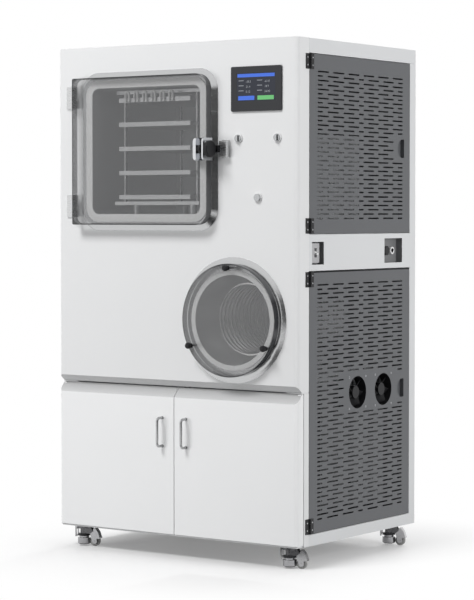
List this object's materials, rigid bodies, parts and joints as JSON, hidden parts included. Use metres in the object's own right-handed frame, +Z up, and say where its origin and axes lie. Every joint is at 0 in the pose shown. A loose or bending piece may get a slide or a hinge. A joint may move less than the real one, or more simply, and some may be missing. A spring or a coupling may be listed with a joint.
{
  "type": "freeze dryer",
  "caption": "Floor-standing freeze dryer: steel cabinet on levelling casters with a clear hinged door over a shelved drying chamber and a clamped clear lid over a round ice condenser.",
  "frame": {"origin": "on the floor, under the middle of the machine's outline", "axes": "+X to the right seen from the front, +Y into the machine, +Z up; the doors and the touch screen face -Y"},
  "size_m": [1.0084, 0.8411, 1.74],
  "materials": {
    "white_paint": "satin",
    "light_paint": "satin",
    "grey_paint": "satin",
    "stainless": "brushed",
    "polished_steel": "polished",
    "shelf_metal": "satin",
    "tinted_acrylic": "clear",
    "silicone": "matte",
    "black_plastic": "matte",
    "bezel_plastic": "satin",
    "display_glass": "gloss",
    "pale_plastic": "satin",
    "black_metal": "satin",
    "enclosure_plastic": "satin",
    "tyre_rubber": "matte"
  },
  "bodies": {
    "cabinet": {"cabinet_frame": "light_paint", "front_cover": "white_paint", "roof": "light_paint", "left_panel": "light_paint", "rear_panel": "light_paint", "equipment_deck": "stainless", "drying_chamber": "stainless", "chamber_gasket": "silicone", "shelf_rack": "shelf_metal", "shelf_hoses": "silicone", "condenser_vessel": "stainless", "condenser_gasket": "silicone", "cooling_coil": "stainless", "chamber_hinge_bases": "stainless", "latch_keeper": "stainless", "screen_housing": "bezel_plastic", "screen_display": "display_glass", "breaker_body": "pale_plastic", "vent_port": "pale_plastic", "vacuum_pump": "shelf_metal", "compressor": "black_metal", "heat_exchanger": "shelf_metal", "electrical_box": "enclosure_plastic", "vacuum_line": "stainless", "side_hinge_bases": "black_metal", "caster_plates": "polished_steel"},
    "chamber_door_body": {"chamber_door": "tinted_acrylic", "chamber_hinge_leaves": "stainless", "latch_bracket": "stainless"},
    "latch_knob_body": {"latch_knob": "black_plastic"},
    "condenser_lid_body": {"condenser_lid": "tinted_acrylic"},
    "lid_knob_1_body": {"lid_knob_1": "black_plastic"},
    "lid_knob_2_body": {"lid_knob_2": "black_plastic"},
    "lid_knob_3_body": {"lid_knob_3": "black_plastic"},
    "left_front_door_body": {"left_front_door": "white_paint", "left_handle": "polished_steel"},
    "right_front_door_body": {"right_front_door": "white_paint", "right_handle": "polished_steel"},
    "upper_side_door_body": {"upper_side_door": "grey_paint"},
    "lower_side_door_body": {"lower_side_door": "grey_paint", "fan_frames": "black_plastic"},
    "fan_rotor_1_body": {"fan_rotor_1": "black_plastic"},
    "fan_rotor_2_body": {"fan_rotor_2": "black_plastic"},
    "left_selector_body": {"left_selector": "polished_steel"},
    "right_selector_body": {"right_selector": "polished_steel"},
    "push_button_body": {"push_button": "polished_steel"},
    "breaker_lever_body": {"breaker_lever": "black_plastic"},
    "valve_knob_body": {"valve_knob": "black_plastic"},
    "caster_yoke_1_body": {"caster_yoke_1": "polished_steel"},
    "caster_wheel_1_body": {"caster_wheel_1": "pale_plastic"},
    "caster_foot_1_body": {"caster_foot_1": "polished_steel"},
    "caster_yoke_2_body": {"caster_yoke_2": "polished_steel"},
    "caster_wheel_2_body": {"caster_wheel_2": "pale_plastic"},
    "caster_foot_2_body": {"caster_foot_2": "polished_steel"},
    "caster_yoke_3_body": {"caster_yoke_3": "polished_steel"},
    "caster_wheel_3_body": {"caster_wheel_3": "pale_plastic"},
    "caster_foot_3_body": {"caster_foot_3": "polished_steel"},
    "caster_yoke_4_body": {"caster_yoke_4": "polished_steel"},
    "caster_wheel_4_body": {"caster_wheel_4": "pale_plastic"},
    "caster_foot_4_body": {"caster_foot_4": "polished_steel"}
  },
  "joints": [
    {"name": "chamber_door_hinge", "type": "hinge", "parent": "cabinet", "child": "chamber_door_body", "pos_m": [-0.42525, -0.3486, 1.381], "axis": [0, 0, -1], "range_deg": [0, 120]},
    {"name": "latch_turn", "type": "hinge", "parent": "chamber_door_body", "child": "latch_knob_body", "pos_m": [0.16475, -0.3926, 1.381], "axis": [1, 0, 0], "continuous": true},
    {"name": "condenser_lid_lift", "type": "slide", "parent": "cabinet", "child": "condenser_lid_body", "axis": [0, -1, 0], "range_m": [0, 0.15]},
    {"name": "lid_knob_1_turn", "type": "hinge", "parent": "condenser_lid_body", "child": "lid_knob_1_body", "pos_m": [0.24375, -0.3646, 0.989], "axis": [0, -1, 0], "continuous": true},
    {"name": "lid_knob_2_turn", "type": "hinge", "parent": "condenser_lid_body", "child": "lid_knob_2_body", "pos_m": [0.09306, -0.3646, 0.728], "axis": [0, -1, 0], "continuous": true},
    {"name": "lid_knob_3_turn", "type": "hinge", "parent": "condenser_lid_body", "child": "lid_knob_3_body", "pos_m": [0.39444, -0.3646, 0.728], "axis": [0, -1, 0], "continuous": true},
    {"name": "left_front_door_hinge", "type": "hinge", "parent": "cabinet", "child": "left_front_door_body", "pos_m": [-0.49925, -0.2984, 0.3], "axis": [0, 0, -1], "range_deg": [0, 110]},
    {"name": "right_front_door_hinge", "type": "hinge", "parent": "cabinet", "child": "right_front_door_body", "pos_m": [0.49075, -0.2984, 0.3], "axis": [0, 0, 1], "range_deg": [0, 110]},
    {"name": "upper_side_door_hinge", "type": "hinge", "parent": "cabinet", "child": "upper_side_door_body", "pos_m": [0.50025, -0.2594, 1.39], "axis": [0, 0, -1], "range_deg": [0, 120]},
    {"name": "lower_side_door_hinge", "type": "hinge", "parent": "cabinet", "child": "lower_side_door_body", "pos_m": [0.50025, -0.2594, 0.54], "axis": [0, 0, -1], "range_deg": [0, 120]},
    {"name": "fan_1_spin", "type": "hinge", "parent": "lower_side_door_body", "child": "fan_rotor_1_body", "pos_m": [0.47575, 0.0401, 0.5635], "axis": [1, 0, 0], "continuous": true},
    {"name": "fan_2_spin", "type": "hinge", "parent": "lower_side_door_body", "child": "fan_rotor_2_body", "pos_m": [0.47575, 0.2066, 0.5635], "axis": [1, 0, 0], "continuous": true},
    {"name": "left_selector_turn", "type": "hinge", "parent": "cabinet", "child": "left_selector_body", "pos_m": [0.26275, -0.3344, 1.415], "axis": [0, 1, 0], "range_deg": [-45, 45]},
    {"name": "right_selector_turn", "type": "hinge", "parent": "cabinet", "child": "right_selector_body", "pos_m": [0.41775, -0.3344, 1.415], "axis": [0, 1, 0], "range_deg": [-45, 45]},
    {"name": "push_button_press", "type": "slide", "parent": "cabinet", "child": "push_button_body", "axis": [0, 1, 0], "range_m": [0, 0.004], "stiffness_N_per_m": 600, "springref_m": -0.004},
    {"name": "breaker_toggle", "type": "hinge", "parent": "cabinet", "child": "breaker_lever_body", "pos_m": [0.48175, -0.2079, 1.039], "axis": [0, -1, 0], "range_deg": [0, 40]},
    {"name": "valve_turn", "type": "hinge", "parent": "cabinet", "child": "valve_knob_body", "pos_m": [0.47175, 0.2446, 1.04], "axis": [1, 0, 0], "range_deg": [0, 270]},
    {"name": "caster_1_swivel", "type": "hinge", "parent": "cabinet", "child": "caster_yoke_1_body", "pos_m": [-0.43925, -0.2744, 0.06], "axis": [0, 0, 1], "continuous": true},
    {"name": "caster_1_roll", "type": "hinge", "parent": "caster_yoke_1_body", "child": "caster_wheel_1_body", "pos_m": [-0.40025, -0.26021, 0.0175], "axis": [-0.342, 0.9397, 0], "continuous": true},
    {"name": "caster_1_foot", "type": "slide", "parent": "caster_yoke_1_body", "child": "caster_foot_1_body", "axis": [0, 0, -1], "range_m": [0, 0.01]},
    {"name": "caster_2_swivel", "type": "hinge", "parent": "cabinet", "child": "caster_yoke_2_body", "pos_m": [0.43075, -0.2744, 0.06], "axis": [0, 0, 1], "continuous": true},
    {"name": "caster_2_roll", "type": "hinge", "parent": "caster_yoke_2_body", "child": "caster_wheel_2_body", "pos_m": [0.46975, -0.26021, 0.0175], "axis": [-0.342, 0.9397, 0], "continuous": true},
    {"name": "caster_2_foot", "type": "slide", "parent": "caster_yoke_2_body", "child": "caster_foot_2_body", "axis": [0, 0, -1], "range_m": [0, 0.01]},
    {"name": "caster_3_swivel", "type": "hinge", "parent": "cabinet", "child": "caster_yoke_3_body", "pos_m": [-0.43925, 0.3556, 0.06], "axis": [0, 0, 1], "continuous": true},
    {"name": "caster_3_roll", "type": "hinge", "parent": "caster_yoke_3_body", "child": "caster_wheel_3_body", "pos_m": [-0.40025, 0.36979, 0.0175], "axis": [-0.342, 0.9397, 0], "continuous": true},
    {"name": "caster_3_foot", "type": "slide", "parent": "caster_yoke_3_body", "child": "caster_foot_3_body", "axis": [0, 0, -1], "range_m": [0, 0.01]},
    {"name": "caster_4_swivel", "type": "hinge", "parent": "cabinet", "child": "caster_yoke_4_body", "pos_m": [0.43075, 0.3556, 0.06], "axis": [0, 0, 1], "continuous": true},
    {"name": "caster_4_roll", "type": "hinge", "parent": "caster_yoke_4_body", "child": "caster_wheel_4_body", "pos_m": [0.46975, 0.36979, 0.0175], "axis": [-0.342, 0.9397, 0], "continuous": true},
    {"name": "caster_4_foot", "type": "slide", "parent": "caster_yoke_4_body", "child": "caster_foot_4_body", "axis": [0, 0, -1], "range_m": [0, 0.01]}
  ]
}
